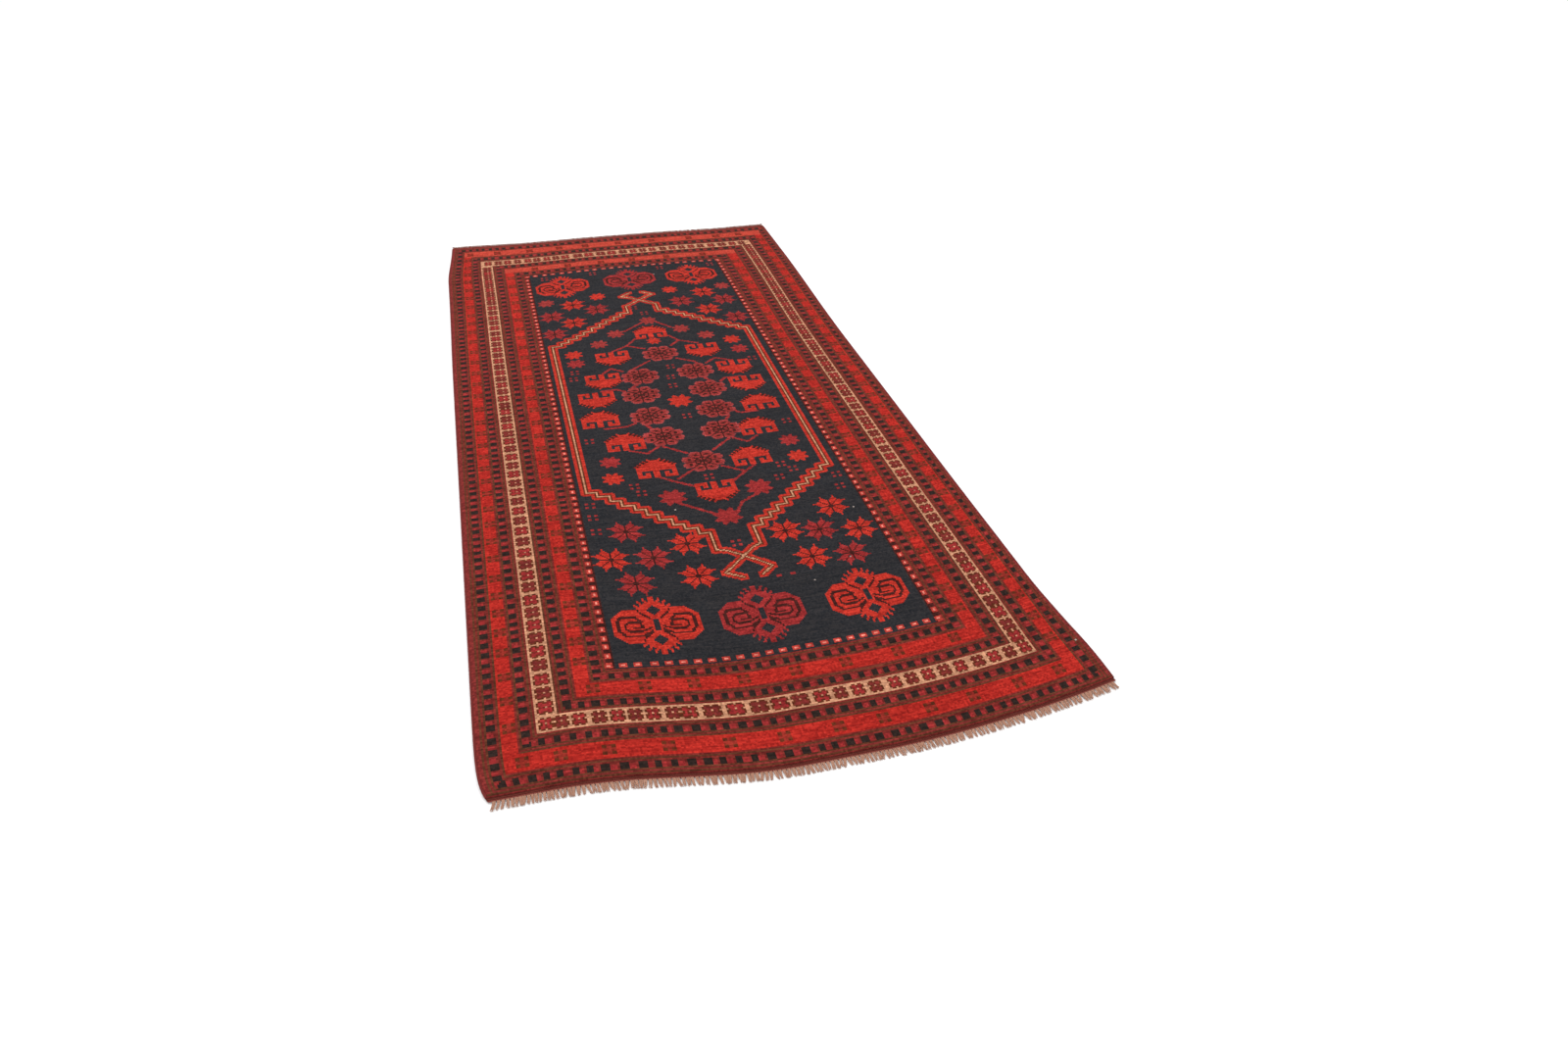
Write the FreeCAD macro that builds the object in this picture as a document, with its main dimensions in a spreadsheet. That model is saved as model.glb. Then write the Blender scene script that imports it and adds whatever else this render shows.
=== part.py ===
"""A hand-knotted wool rug with warp fringes, modelled flat, as it lies.

Frame: +X across the rug, +Y along it, +Z up out of the pile.  The origin is
on the underside, at the middle of the rug.  Everything is counted in knots
from that middle, the way a knotter's chart is drawn: a column is one knot
across and a row is one knot along, and a knot takes knot_pitch both ways.

The rug is built from the underside up: the ground weave with its overcast
selvedges, flat-woven ends, lock rows and fringes, then the wool pile.  The
pile is a set of inlays that stand side by side on the ground weave, one for
each border band, one for the dark field and one for each kind of motif.
"""
import FreeCAD
import Part
import Sketcher

import math
import os

SHEET_CELLS = [
    ("knot_pitch", 4.0),
    ("field_columns", 167),
    ("field_rows", 503),
    ("foundation_thickness", 2.5),
    ("pile_height", 5.0),
    ("selvedge_width", 5.0),
    ("selvedge_thickness", 6.0),
    ("selvedge_rounding", 2.0),
    ("flat_weave_length", 12.0),
    ("flat_weave_thickness", 2.6),
    ("lock_row_radius", 1.5),
    ("tassel_length", 18.0),
    ("tassel_root_radius", 1.6),
    ("tassel_tip_radius", 1.0),
    ("tassel_pitch", 8.0),
    ("tassel_count", 150),
    ("line_columns", 8),
    ("hook_line_columns", 6),
    ("stem_columns", 2),
    ("floret_columns", 6),
    ("split_star_columns", 18),
    ("small_star_columns", 12),
    ("rosette_columns", 26),
    ("spiral_columns", 26),
    ("crown_columns", 17),
    ("palmette_columns", 23),
    ("palmette_rows", 11),
    ("comb_columns", 17),
]

# Border bands from the field outwards: name, knots across each side run,
# knots along each end run.
BANDS = [
    ("bead_stripe", 4, 4),
    ("guard_band_4", 9, 9),
    ("inner_red_band", 7, 9),
    ("guard_band_3", 10, 9),
    ("cream_band", 10, 10),
    ("guard_band_2", 9, 10),
    ("outer_red_band", 7, 10),
    ("guard_band_1", 8, 8),
    ("edge_stripe", 3, 2),
]

# Places on the chart are (column, row) of each motif's middle.
SPIRAL_MEDALLIONS = [(-58, -224), (-3, -224), (56, -224),
                     (-58, 224), (0, 224), (55, 224)]
SPLIT_STARS = [(-61, -142), (-73, -168), (-50, -168), (-29, -157), (-63, -190), (-29, -187),
               (63, -142), (72, -168), (49, -162), (29, -158), (60, -188), (37, -185),
               (-54, 185), (-73, 167), (-36, 170), (-57, 150), (-74, 133),
               (57, 185), (71, 167), (35, 170), (54, 150), (73, 131)]
SMALL_STARS = [(-75, 195), (-32, 195), (30, 195), (76, 195),
               (1, 138), (-28, 120), (24, 118), (-43, 105), (41, 103),
               (-64, 92), (59, 91), (-64, 77), (61, 74), (0, 5),
               (-59, -64), (60, -63), (-60, -84), (60, -83),
               (-28, -110), (26, -111), (0, -136), (-1, 101)]
ROSETTES = [(0, 79), (-21, 46), (20, 46), (-25, 19), (23, 18),
            (-24, -11), (22, -11), (-20, -39), (19, -39), (-1, -74)]
# Palmettes are (column, row, turn): the comb points along +Y for 1, -Y for -1.
PALMETTES = [(-1, 117, 1), (-36, 79, -1), (33, 78, -1), (-48, 45, -1),
             (50, 46, -1), (-56, 19, -1), (53, 20, -1), (-58, -8, 1),
             (54, -9, 1), (-46, -41, 1), (44, -40, 1), (-32, -76, 1),
             (30, -75, 1), (0, -109, -1)]
FLORETS = [(-71, 245), (-29, 245), (31, 245), (77, 245),
           (-6, 165), (1, 153), (-1, -162), (4, 57), (1, 41), (0, 28), (1, -16),
           (-66, 63), (-68, 53), (67, 57), (-68, -35), (66, -38),
           (-77, -112), (-77, -125), (-77, -140), (78, -110), (76, -123),
           (-48, -94), (-45, -102), (47, -89), (53, -96), (42, -103), (-1, -92)]

# The line that frames the medallion, as runs between (column, row) corners.
LINE_RUNS = [((-77, -92), (-77, 105)), ((76, -92), (76, 105)),
             ((-77, -92), (-14, -149)), ((76, -92), (12, -149)),
             ((-77, 105), (-12, 156)), ((76, 105), (13, 156)),
             ((-14, -149), (-14, -166)), ((12, -149), (12, -166)),
             ((-12, 156), (-12, 169)), ((13, 156), (13, 169))]
HOOK_RUNS = [((-14, -166), (13, -187)), ((12, -166), (-14, -187)),
             ((-14, -187), (-5, -194)), ((13, -187), (5, -194)),
             ((-12, 169), (14, 189)), ((13, 169), (-13, 189)),
             ((-13, 189), (-4, 196)), ((14, 189), (6, 196))]
STEM_RUNS = [((-5, 135), (-21, 122)), ((7, 134), (17, 122)),
             ((-14, 108), (-23, 97)), ((12, 108), (18, 98)),
             ((-23, 97), (-35, 90)), ((18, 98), (32, 90)),
             ((-23, 97), (-10, 89)), ((18, 98), (10, 89)),
             ((-10, 69), (-26, 57)), ((10, 69), (24, 58)),
             ((-25, 34), (-32, 29)), ((24, 34), (28, 29)),
             ((-29, -22), (-26, -28)), ((29, -22), (25, -28)),
             ((-23, -51), (-9, -63)), ((22, -51), (8, -63)),
             ((-9, -82), (-21, -91)), ((9, -82), (21, -91)),
             ((-32, -87), (-12, -101)), ((30, -87), (12, -101)),
             ((-25, -117), (-7, -132)), ((22, -118), (7, -132))]


def add_sheet(doc):
    """The driving dimensions: millimetres, or knots for the chart's counts."""
    sheet = doc.addObject("Spreadsheet::Sheet", "Sizes")
    for line, (alias, value) in enumerate(SHEET_CELLS, start=1):
        sheet.set(f"A{line}", alias)
        sheet.set(f"B{line}", str(value))
        sheet.setAlias(f"B{line}", alias)
    for line, (name, side, end) in enumerate(BANDS, start=1):
        sheet.set(f"D{line}", name)
        sheet.set(f"E{line}", str(side))
        sheet.setAlias(f"E{line}", f"{name}_side")
        sheet.set(f"F{line}", str(end))
        sheet.setAlias(f"F{line}", f"{name}_end")
    return sheet


def bind(obj, **sizes):
    """Bind properties to the sheet; a double underscore stands for a dot."""
    for name, expression in sizes.items():
        obj.setExpression(name.replace("__", "."), expression)
    return obj


def half_knots(which, bands):
    """Half the pile's size, in knots, over the field and the given bands."""
    field = "Sizes.field_columns" if which == "side" else "Sizes.field_rows"
    terms = [f"{field} / 2"] + [f"Sizes.{name}_{which}" for name, _, _ in bands]
    return "(" + " + ".join(terms) + ")"


PILE_HALF_X = f"(Sizes.knot_pitch * {half_knots('side', BANDS)})"
PILE_HALF_Y = f"(Sizes.knot_pitch * {half_knots('end', BANDS)})"
RUG_HALF_X = f"({PILE_HALF_X} + Sizes.selvedge_width)"
END_Y = f"({PILE_HALF_Y} + Sizes.flat_weave_length)"
FRINGE_Y = f"({END_Y} + 2 * Sizes.lock_row_radius)"


def box(doc, label, low_x, low_y, low_z, size_x, size_y, size_z):
    """A box from its low corner and its size, all bound to the sheet."""
    solid = doc.addObject("Part::Box", label)
    return bind(solid, Length=size_x, Width=size_y, Height=size_z,
                Placement__Base__x=low_x, Placement__Base__y=low_y,
                Placement__Base__z=low_z)


def pile_bar(doc, label, start, end, columns):
    """A straight run of pile between two chart places, squared off past both."""
    along = end[0] - start[0], end[1] - start[1]
    length = math.hypot(*along)
    angle = math.degrees(math.atan2(along[1], along[0]))
    back = f"{columns} / 2"
    unit = along[0] / length, along[1] / length
    side = -unit[1], unit[0]
    corner_x = f"({start[0]} - ({unit[0]:.6f} + {side[0]:.6f}) * {back})"
    corner_y = f"({start[1]} - ({unit[1]:.6f} + {side[1]:.6f}) * {back})"
    bar = box(doc, label,
              f"Sizes.knot_pitch * {corner_x}", f"Sizes.knot_pitch * {corner_y}",
              "Sizes.foundation_thickness",
              f"Sizes.knot_pitch * ({length:.6f} + {columns})",
              f"Sizes.knot_pitch * {columns}", "Sizes.pile_height")
    bar.Placement.Rotation = FreeCAD.Rotation(FreeCAD.Vector(0, 0, 1), angle)
    return bar


def pile_prism(doc, label, place, corners, columns, first_corner):
    """An upright prism of pile: columns is its size across the corners."""
    prism = doc.addObject("Part::Prism", label)
    prism.Polygon = corners
    prism.Placement.Rotation = FreeCAD.Rotation(FreeCAD.Vector(0, 0, 1), first_corner)
    return bind(prism, Circumradius=f"Sizes.knot_pitch * {columns} / 2",
                Height="Sizes.pile_height",
                Placement__Base__x=f"Sizes.knot_pitch * {place[0]}",
                Placement__Base__y=f"Sizes.knot_pitch * {place[1]}",
                Placement__Base__z="Sizes.foundation_thickness")


def group(doc, kind, label, members):
    """One object from several: a Compound, or a MultiFuse where they overlap."""
    whole = doc.addObject(f"Part::{kind}", label)
    if kind == "Compound":
        whole.Links = members
    else:
        whole.Shapes = members
    return whole


def cut(doc, label, base, tool):
    """The base less the tool."""
    rest = doc.addObject("Part::Cut", label)
    rest.Base = base
    rest.Tool = tool
    return rest


def origin_plane(body, role):
    """The body's own origin plane with this role."""
    return next(feature for feature in body.Origin.OriginFeatures
                if feature.Role == role)


def rectangle_sketch(body, name, role, low_x, low_y, size_x, size_y):
    """A rectangle on an origin plane of the body, bound to the sheet."""
    sketch = body.newObject("Sketcher::SketchObject", name)
    sketch.AttachmentSupport = [(origin_plane(body, role), "")]
    sketch.MapMode = "FlatFace"
    corners = [FreeCAD.Vector(x, y, 0) for x, y in ((0, 0), (9, 0), (9, 9), (0, 9))]
    for index in range(4):
        line = Part.LineSegment(corners[index], corners[(index + 1) % 4])
        sketch.addGeometry(line, False)
    for index in range(4):
        sketch.addConstraint(Sketcher.Constraint("Coincident", index, 2, (index + 1) % 4, 1))
    for index, direction in enumerate(("Horizontal", "Vertical") * 2):
        sketch.addConstraint(Sketcher.Constraint(direction, index))
    bounds = [("DistanceX", (-1, 1, 0, 1), 1.0, low_x), ("DistanceY", (-1, 1, 0, 1), 1.0, low_y),
              ("DistanceX", (0, 1, 0, 2), 9.0, size_x), ("DistanceY", (1, 1, 1, 2), 9.0, size_y)]
    for kind, points, start, expression in bounds:
        number = sketch.addConstraint(Sketcher.Constraint(kind, *points, start))
        sketch.setExpression(f"Constraints[{number}]", expression)
    return sketch


def padded_body(doc, label, role, rectangle, height, midplane=False):
    """A body whose one sketch is a rectangle, padded by a bound height."""
    body = doc.addObject("PartDesign::Body", label)
    sketch = rectangle_sketch(body, f"{label}_outline", role, *rectangle)
    pad = body.newObject("PartDesign::Pad", f"{label}_pad")
    pad.Profile = sketch
    if midplane:
        pad.SideType = "Symmetric"
    pad.setExpression("Length", height)
    return body, pad


def add_foundation(doc):
    """The ground weave of warps and wefts that every knot is tied on."""
    body, _ = padded_body(doc, "foundation", "XY_Plane",
                          (f"-{PILE_HALF_X}", f"-{PILE_HALF_Y}",
                           f"2 * {PILE_HALF_X}", f"2 * {PILE_HALF_Y}"),
                          "Sizes.foundation_thickness")
    return [body]


def add_selvedges(doc):
    """The wool-overcast cords along both long edges."""
    lows = {"left": f"-{RUG_HALF_X}", "right": PILE_HALF_X}
    bodies = []
    for side, low_x in lows.items():
        label = f"selvedge_{side}"
        body, pad = padded_body(doc, label, "XZ_Plane",
                                (low_x, "0", "Sizes.selvedge_width",
                                 "Sizes.selvedge_thickness"),
                                f"2 * {PILE_HALF_Y}", midplane=True)
        doc.recompute()
        fillet = body.newObject("PartDesign::Fillet", f"{label}_rounding")
        long_edges = [f"Edge{number}" for number, edge in enumerate(pad.Shape.Edges, start=1)
                      if edge.BoundBox.YLength > edge.BoundBox.XLength + edge.BoundBox.ZLength]
        fillet.Base = (pad, long_edges)
        fillet.setExpression("Radius", "Sizes.selvedge_rounding")
        body.Tip = fillet
        bodies.append(body)
    return bodies


def add_ends(doc):
    """The flat-woven strips past the pile, and the lock rows that end them."""
    pieces = []
    lows = {"front": f"-{END_Y}", "back": PILE_HALF_Y}
    for end, low_y in lows.items():
        body, _ = padded_body(doc, f"flat_weave_{end}", "XY_Plane",
                              (f"-{PILE_HALF_X}", low_y,
                               f"2 * {PILE_HALF_X}", "Sizes.flat_weave_length"),
                              "Sizes.flat_weave_thickness")
        pieces.append(body)
        sign = -1 if end == "front" else 1
        lock = doc.addObject("Part::Cylinder", f"lock_row_{end}")
        lock.Placement.Rotation = FreeCAD.Rotation(FreeCAD.Vector(0, 1, 0), 90)
        bind(lock, Radius="Sizes.lock_row_radius", Height=f"2 * {PILE_HALF_X}",
             Placement__Base__x=f"-{PILE_HALF_X}",
             Placement__Base__y=f"{sign} * ({END_Y} + Sizes.lock_row_radius)",
             Placement__Base__z="Sizes.lock_row_radius")
        pieces.append(lock)
    return pieces


def add_fringes(doc):
    """The warp ends, gathered into a row of separate tassels past each end."""
    bodies = []
    first_x = "(-Sizes.tassel_pitch * (Sizes.tassel_count - 1) / 2)"
    for end, sign in (("front", -1), ("back", 1)):
        label = f"fringe_{end}"
        body = doc.addObject("PartDesign::Body", label)
        body.AllowCompound = True
        tassel = body.newObject("PartDesign::AdditiveCone", f"{label}_tassel")
        tassel.Placement.Rotation = FreeCAD.Rotation(FreeCAD.Vector(1, 0, 0), -90 * sign)
        bind(tassel, Radius1="Sizes.tassel_root_radius", Radius2="Sizes.tassel_tip_radius",
             Height="Sizes.tassel_length", Placement__Base__x=first_x,
             Placement__Base__y=f"{sign} * {FRINGE_Y}",
             Placement__Base__z="Sizes.tassel_root_radius")
        doc.recompute()
        row = body.newObject("PartDesign::LinearPattern", f"{label}_row")
        row.Originals = [tassel]
        row.Direction = (origin_plane(body, "X_Axis"), [""])
        row.setExpression("Length", "Sizes.tassel_pitch * (Sizes.tassel_count - 1)")
        row.setExpression("Occurrences", "Sizes.tassel_count")
        body.Tip = row
        bodies.append(body)
    return bodies


def add_border_bands(doc):
    """Nine bands of pile round the field, each of two side and two end runs."""
    rings = []
    for index, (name, _, _) in enumerate(BANDS):
        inner_x = f"(Sizes.knot_pitch * {half_knots('side', BANDS[:index])})"
        inner_y = f"(Sizes.knot_pitch * {half_knots('end', BANDS[:index])})"
        side = f"Sizes.knot_pitch * Sizes.{name}_side"
        end = f"Sizes.knot_pitch * Sizes.{name}_end"
        full_x = f"2 * ({inner_x} + {side})"
        runs = [("left", f"-({inner_x} + {side})", f"-{inner_y}", side, f"2 * {inner_y}"),
                ("right", inner_x, f"-{inner_y}", side, f"2 * {inner_y}"),
                ("front", f"-({inner_x} + {side})", f"-({inner_y} + {end})", full_x, end),
                ("back", f"-({inner_x} + {side})", inner_y, full_x, end)]
        solids = [box(doc, f"{name}_{run}", low_x, low_y, "Sizes.foundation_thickness",
                      size_x, size_y, "Sizes.pile_height")
                  for run, low_x, low_y, size_x, size_y in runs]
        rings.append(group(doc, "Compound", f"pile_{name}", solids))
    return rings


def medallion_line(doc, ground):
    """The framing line: straight runs, then thinner runs that cross and hook."""
    runs = [pile_bar(doc, f"line_run_{index}", start, end, "Sizes.line_columns")
            for index, (start, end) in enumerate(LINE_RUNS)]
    runs += [pile_bar(doc, f"hook_run_{index}", start, end, "Sizes.hook_line_columns")
             for index, (start, end) in enumerate(HOOK_RUNS)]
    line = doc.addObject("Part::Common", "medallion_line_whole")
    line.Base = group(doc, "MultiFuse", "medallion_line_runs", runs)
    line.Tool = ground
    return line


def spiral_medallion(doc, label, place):
    """Two octagons side by side, with a diamond crown above and below."""
    column, row = place
    prisms = [pile_prism(doc, f"{label}_{name}", (column + across, row + along), corners,
                         size, turn)
              for name, across, along, corners, size, turn in (
                  ("left", -12, 0, 8, "Sizes.spiral_columns", 22.5),
                  ("right", 12, 0, 8, "Sizes.spiral_columns", 22.5),
                  ("front", 0, -13, 4, "Sizes.crown_columns", 0),
                  ("back", 0, 13, 4, "Sizes.crown_columns", 0))]
    return group(doc, "MultiFuse", label, prisms)


def star(doc, label, place, columns):
    """An eight-pointed star: two squares, one turned by an eighth."""
    squares = [pile_prism(doc, f"{label}_{turn}", place, 4, columns, turn) for turn in (0, 45)]
    return group(doc, "MultiFuse", label, squares)


def palmette(doc, label, column, row, turn):
    """A hooked block with a pointed comb on the side that turn gives."""
    block = pile_bar(doc, f"{label}_block",
                     (column - 6, row - 4 * turn), (column + 6, row - 4 * turn),
                     "Sizes.palmette_rows")
    comb = pile_prism(doc, f"{label}_comb", (column, row + turn), 4,
                      "Sizes.palmette_columns", 0)
    return group(doc, "MultiFuse", label, [block, comb])


def floret(doc, label, place):
    """A small square of four dots."""
    half = "Sizes.floret_columns / 2"
    size = "Sizes.knot_pitch * Sizes.floret_columns"
    return box(doc, label, f"Sizes.knot_pitch * ({place[0]} - {half})",
               f"Sizes.knot_pitch * ({place[1]} - {half})", "Sizes.foundation_thickness",
               size, size, "Sizes.pile_height")


def add_field(doc):
    """The dark field, and each kind of motif inlaid in it as its own piece."""
    half_x = "(Sizes.knot_pitch * Sizes.field_columns / 2)"
    half_y = "(Sizes.knot_pitch * Sizes.field_rows / 2)"
    ground = box(doc, "field_ground", f"-{half_x}", f"-{half_y}", "Sizes.foundation_thickness",
                 f"2 * {half_x}", f"2 * {half_y}", "Sizes.pile_height")
    motifs = {
        "spiral_medallions": [spiral_medallion(doc, f"spiral_medallion_{index}", place)
                              for index, place in enumerate(SPIRAL_MEDALLIONS)],
        "split_stars": [star(doc, f"split_star_{index}", place, "Sizes.split_star_columns")
                        for index, place in enumerate(SPLIT_STARS)],
        "small_stars": [star(doc, f"small_star_{index}", place, "Sizes.small_star_columns")
                        for index, place in enumerate(SMALL_STARS)],
        "rosettes": [pile_prism(doc, f"rosette_{index}", place, 8, "Sizes.rosette_columns", 22.5)
                     for index, place in enumerate(ROSETTES)],
        "palmettes": [palmette(doc, f"palmette_{index}", *place)
                      for index, place in enumerate(PALMETTES)],
        "florets": [floret(doc, f"floret_{index}", place)
                    for index, place in enumerate(FLORETS)],
    }
    groups = {"medallion_line": medallion_line(doc, ground)}
    groups.update({name: group(doc, "MultiFuse", f"{name}_whole", members)
                   for name, members in motifs.items()})
    groups["stems"] = group(doc, "MultiFuse", "stems_whole",
                            [pile_bar(doc, f"stem_{index}", start, end, "Sizes.stem_columns")
                             for index, (start, end) in enumerate(STEM_RUNS)])
    pieces = []
    taken = None
    for name, whole in groups.items():
        if taken is None:
            piece = group(doc, "Compound", f"pile_{name}", [whole])
            taken = whole
        else:
            piece = cut(doc, f"pile_{name}", whole, taken)
            taken = group(doc, "MultiFuse", f"taken_with_{name}", [taken, whole])
        pieces.append(piece)
    pieces.append(cut(doc, "pile_field", ground, taken))
    return pieces


def check(doc, pieces):
    """Stop if any object failed, or if a piece's shape is empty or invalid."""
    for obj in doc.Objects:
        if "Invalid" in obj.State or "Error" in obj.State:
            raise RuntimeError(f"{obj.Label} failed: {obj.State}")
    for piece in pieces:
        if piece.Shape.isNull() or not piece.Shape.isValid() or not piece.Shape.Solids:
            raise RuntimeError(f"{piece.Label} has no valid solid")


def main():
    doc = FreeCAD.newDocument("rug")
    add_sheet(doc)
    pieces = []
    for build in (add_foundation, add_selvedges, add_ends, add_fringes,
                  add_border_bands, add_field):
        pieces += build(doc)
    doc.recompute()
    check(doc, pieces)
    os.makedirs("parts", exist_ok=True)
    for piece in pieces:
        piece.Shape.exportStep(f"parts/{piece.Label}.step")
        print(piece.Label, len(piece.Shape.Solids), round(piece.Shape.Volume / 1000, 1), "cm3")




main()
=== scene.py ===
"""The looks of a hand-knotted wool rug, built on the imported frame.

A chart of 301 by 645 knots says which yarn each knot is. The pile, and the backs of
the knots beneath it, are meshes of one quad to a knot. rest() lays every piece as the
rug lies, out of square by up to 6 cm, and slightly rippled.
"""

import math

import bpy
import numpy as np
from mathutils import Matrix, Vector


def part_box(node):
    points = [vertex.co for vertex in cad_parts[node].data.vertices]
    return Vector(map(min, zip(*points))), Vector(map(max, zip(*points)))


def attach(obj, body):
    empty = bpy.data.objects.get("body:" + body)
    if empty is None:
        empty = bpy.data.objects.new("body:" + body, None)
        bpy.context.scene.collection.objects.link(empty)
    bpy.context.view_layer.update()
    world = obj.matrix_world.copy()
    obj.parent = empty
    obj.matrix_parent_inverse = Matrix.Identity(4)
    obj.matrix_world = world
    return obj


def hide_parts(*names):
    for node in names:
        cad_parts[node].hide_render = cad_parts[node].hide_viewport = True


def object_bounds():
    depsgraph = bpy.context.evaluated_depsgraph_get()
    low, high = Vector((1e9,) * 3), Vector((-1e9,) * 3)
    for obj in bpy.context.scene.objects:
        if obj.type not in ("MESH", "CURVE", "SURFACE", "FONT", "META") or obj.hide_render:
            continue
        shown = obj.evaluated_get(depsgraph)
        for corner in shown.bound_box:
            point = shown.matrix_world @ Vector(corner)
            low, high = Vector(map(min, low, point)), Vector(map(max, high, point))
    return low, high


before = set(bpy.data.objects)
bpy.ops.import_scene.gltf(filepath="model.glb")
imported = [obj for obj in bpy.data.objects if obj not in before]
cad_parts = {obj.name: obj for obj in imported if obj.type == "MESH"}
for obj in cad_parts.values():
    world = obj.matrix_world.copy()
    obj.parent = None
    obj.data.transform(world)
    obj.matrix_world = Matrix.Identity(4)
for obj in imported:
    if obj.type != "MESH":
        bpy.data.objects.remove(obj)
cad_box = [list(map(float, corner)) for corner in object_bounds()]

HALF_U, HALF_V = 150, 322
COLS, ROWS = 2 * HALF_U + 1, 2 * HALF_V + 1
ground_low, ground_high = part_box("foundation")
KNOT = round((ground_high[0] - ground_low[0]) / COLS, 5)
PILE_TOP = round(cad_box[1][2], 5)
WEAVE_TOP, WEAVE_FOOT = 0.0024, 0.0006
HALF_WIDTH, HALF_LENGTH = COLS * KNOT / 2, ROWS * KNOT / 2
rng = np.random.default_rng(11)

# ---------------------------------------------------------------- yarns

# name: two shades in linear light; each knot falls somewhere between them
YARNS = {
    "navy": ((0.017, 0.020, 0.026), (0.025, 0.021, 0.020)),
    "black": ((0.018, 0.013, 0.011), (0.028, 0.015, 0.012)),
    "red": ((0.315, 0.011, 0.009), (0.400, 0.025, 0.016)),
    # painted sheen: a paler red for the back ends of the red bands, where the pile catches the light
    "red_painted_sheen": ((0.370, 0.032, 0.020), (0.450, 0.056, 0.034)),
    "flame": ((0.351, 0.016, 0.011), (0.441, 0.034, 0.020)),
    "crimson": ((0.215, 0.016, 0.017), (0.290, 0.026, 0.025)),
    "plum": ((0.135, 0.018, 0.015), (0.185, 0.024, 0.020)),
    "rose": ((0.255, 0.036, 0.036), (0.320, 0.048, 0.046)),
    "rosette": ((0.205, 0.022, 0.020), (0.285, 0.032, 0.029)),
    "maroon": ((0.125, 0.014, 0.012), (0.185, 0.024, 0.018)),
    "edge": ((0.150, 0.018, 0.017), (0.210, 0.027, 0.023)),
    "olive": ((0.080, 0.024, 0.012), (0.120, 0.034, 0.017)),
    "umber": ((0.085, 0.018, 0.007), (0.120, 0.026, 0.010)),
    "brick": ((0.200, 0.016, 0.012), (0.260, 0.026, 0.016)),
    "dark": ((0.036, 0.009, 0.007), (0.058, 0.012, 0.010)),
    "cream": ((0.420, 0.190, 0.108), (0.500, 0.250, 0.145)),
    "bead": ((0.350, 0.028, 0.022), (0.430, 0.048, 0.034)),
    "pink": ((0.620, 0.180, 0.135), (0.700, 0.240, 0.180)),
    "pale": ((0.260, 0.220, 0.200), (0.340, 0.280, 0.250)),
}
YARN = {name: index for index, name in enumerate(YARNS)}

# ---------------------------------------------------------------- chart

# from the edge inwards: the CAD node's name, knots across at the sides and the ends
BANDS = [
    ("edge_stripe", 3, 2),
    ("guard_band_1", 8, 8),
    ("outer_red_band", 7, 10),
    ("guard_band_2", 9, 10),
    ("cream_band", 10, 10),
    ("guard_band_3", 10, 9),
    ("inner_red_band", 7, 9),
    ("guard_band_4", 9, 9),
    ("bead_stripe", 4, 4),
]
FIELD = len(BANDS)

u_of, v_of = np.meshgrid(
    np.arange(-HALF_U, HALF_U + 1), np.arange(-HALF_V, HALF_V + 1)
)
side_ends = np.cumsum([side for _, side, _ in BANDS])
end_ends = np.cumsum([end for _, _, end in BANDS])
side_band = np.searchsorted(side_ends, HALF_U - abs(u_of), side="right")
end_band = np.searchsorted(end_ends, HALF_V - abs(v_of), side="right")
region = np.minimum(side_band, end_band)
chart = np.full((ROWS, COLS), YARN["navy"], dtype=np.int32)


def window(points, margin):
    """The stretch of the chart round these points, and each knot's place in it."""
    low = np.floor(points.min(0) - margin).astype(int) + (HALF_U, HALF_V)
    high = np.ceil(points.max(0) + margin).astype(int) + (HALF_U + 1, HALF_V + 1)
    rows = slice(max(low[1], 0), min(high[1], ROWS))
    cols = slice(max(low[0], 0), min(high[0], COLS))
    return chart[rows, cols], u_of[rows, cols], v_of[rows, cols]


def placed(points, at, turn):
    """Points of a motif drawn round (0, 0), flipped by turn and moved to at."""
    return np.array(points, float) * turn + at


def fill(points, yarn, at=(0, 0), turn=(1, 1)):
    """Ties every knot inside the polygon in this yarn."""
    corners = placed(points, at, turn)
    part, u, v = window(corners, 0)
    inside = np.zeros(u.shape, bool)
    for (ua, va), (ub, vb) in zip(corners, np.roll(corners, -1, 0), strict=True):
        if va != vb:
            inside ^= ((va > v) != (vb > v)) & (u < ua + (v - va) * (ub - ua) / (vb - va))
    part[inside] = YARN[yarn]


def line(points, half, yarn, at=(0, 0), turn=(1, 1)):
    """Ties the knots within half a width of the line in this yarn."""
    path = placed(points, at, turn)
    part, u, v = window(path, half + 1)
    for a, b in zip(path, path[1:], strict=False):
        run = b - a
        along = ((u - a[0]) * run[0] + (v - a[1]) * run[1]) / max(run @ run, 1e-9)
        along = np.clip(along, 0, 1)
        near = np.hypot(u - a[0] - along * run[0], v - a[1] - along * run[1]) <= half
        part[near] = YARN[yarn]


def box(u0, u1, v0, v1, yarn, at=(0, 0), turn=(1, 1)):
    """Ties the rectangle of knots between these columns and rows in this yarn."""
    fill(
        [(u0 - 0.5, v0 - 0.5), (u1 + 0.5, v0 - 0.5), (u1 + 0.5, v1 + 0.5), (u0 - 0.5, v1 + 0.5)],
        yarn,
        at,
        turn,
    )


def floret(at, yarn, middle=None):
    """Four small dots, two knots each way, with a gap of two between them."""
    if middle:
        box(-1, 0, -3, 2, middle, at)
        box(-3, 2, -1, 0, middle, at)
    for du in (-3, 1):
        for dv in (-3, 1):
            box(du, du + 1, dv, dv + 1, yarn, at)


# ---- the borders

def beats(count, dark, light):
    """For each knot of a run, whether it is in a dark square; the squares wobble."""
    runs, total, is_dark = [], 0, True
    while total < count:
        size = int(rng.choice(dark if is_dark else light))
        runs.append(np.full(size, is_dark))
        total += size
        is_dark = not is_dark
    return np.concatenate(runs)[:count]


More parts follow.
